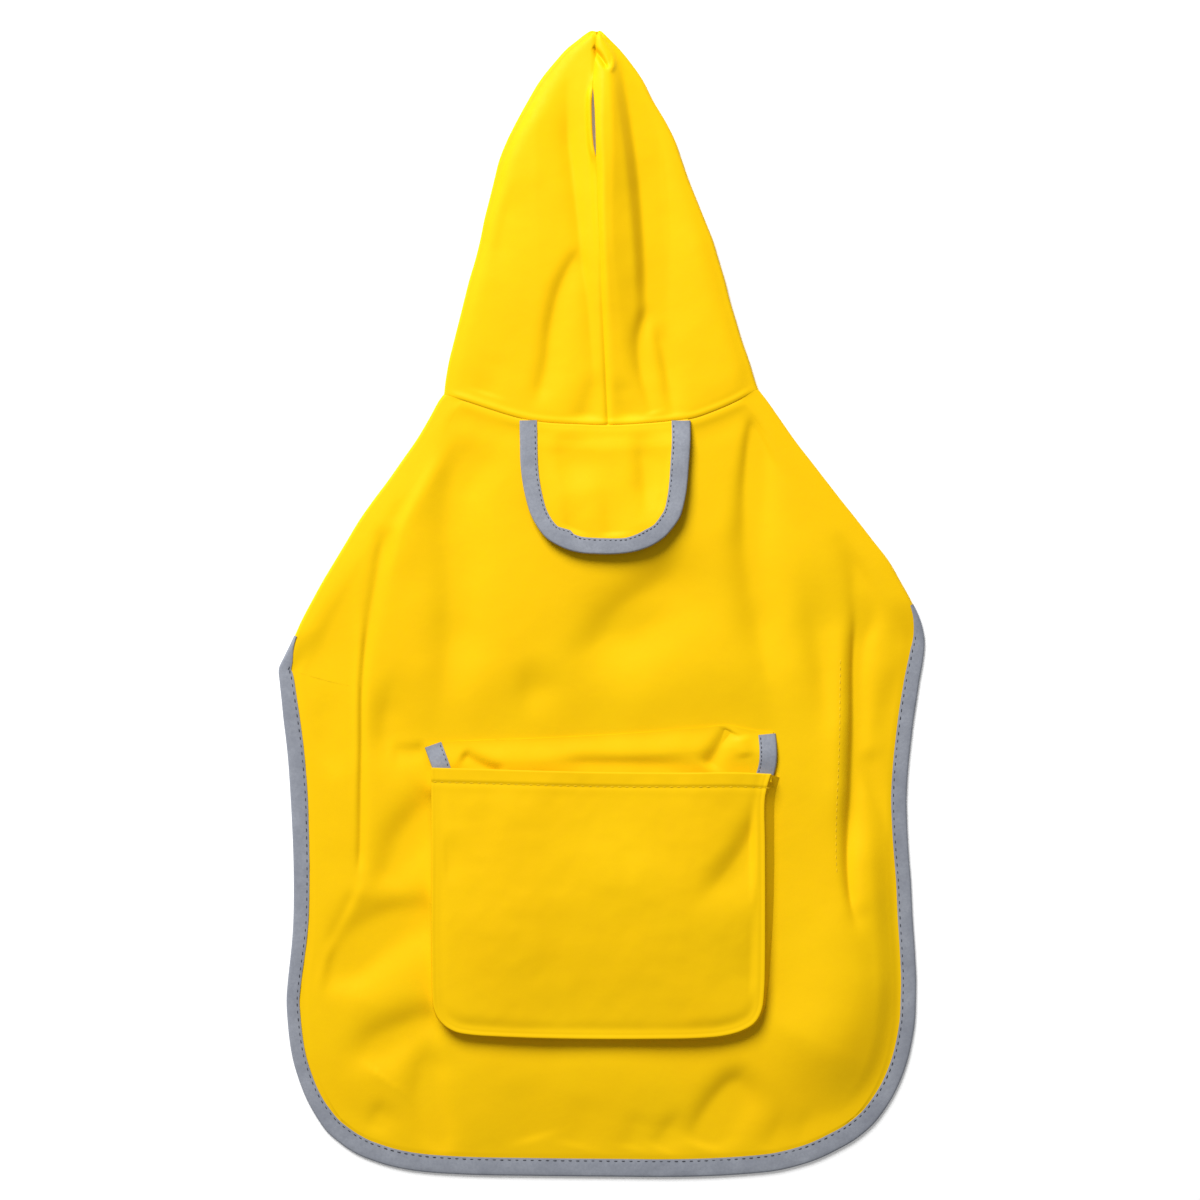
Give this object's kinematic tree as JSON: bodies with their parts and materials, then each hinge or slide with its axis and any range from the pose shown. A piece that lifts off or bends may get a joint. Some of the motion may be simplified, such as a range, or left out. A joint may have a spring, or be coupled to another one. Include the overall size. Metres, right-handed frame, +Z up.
{
  "type": "hooded dog raincoat",
  "caption": "Hooded dog raincoat laid flat with its back up, with taped edges, a harness flap under the hood and a bellows pocket whose flap is tucked in.",
  "frame": {"origin": "bottom centre of the box round the laid-out coat, on the surface that it lies on", "axes": "+Z up out of that surface, +Y from the hem towards the hood's tip, +X to the coat's right in the view from above"},
  "size_m": [0.3429, 0.6121, 0.0179],
  "materials": {
    "coat_cloth": "yellow polyurethane-coated woven cloth with a soft satin sheen and a fine plain weave",
    "binding_tape": "blue-grey folded woven edging tape, matt, stitched near its inner edge"
  },
  "bodies": {
    "root": {"back_panel": "coat_cloth", "chest_panel": "coat_cloth", "hood_left": "coat_cloth", "hood_right": "coat_cloth", "edge_binding": "binding_tape", "chest_binding": "binding_tape", "harness_flap": "coat_cloth", "harness_flap_binding": "binding_tape", "pocket_front": "coat_cloth", "pocket_gusset": "coat_cloth", "pocket_flap": "coat_cloth", "pocket_flap_binding": "binding_tape"}
  },
  "joints": []
}
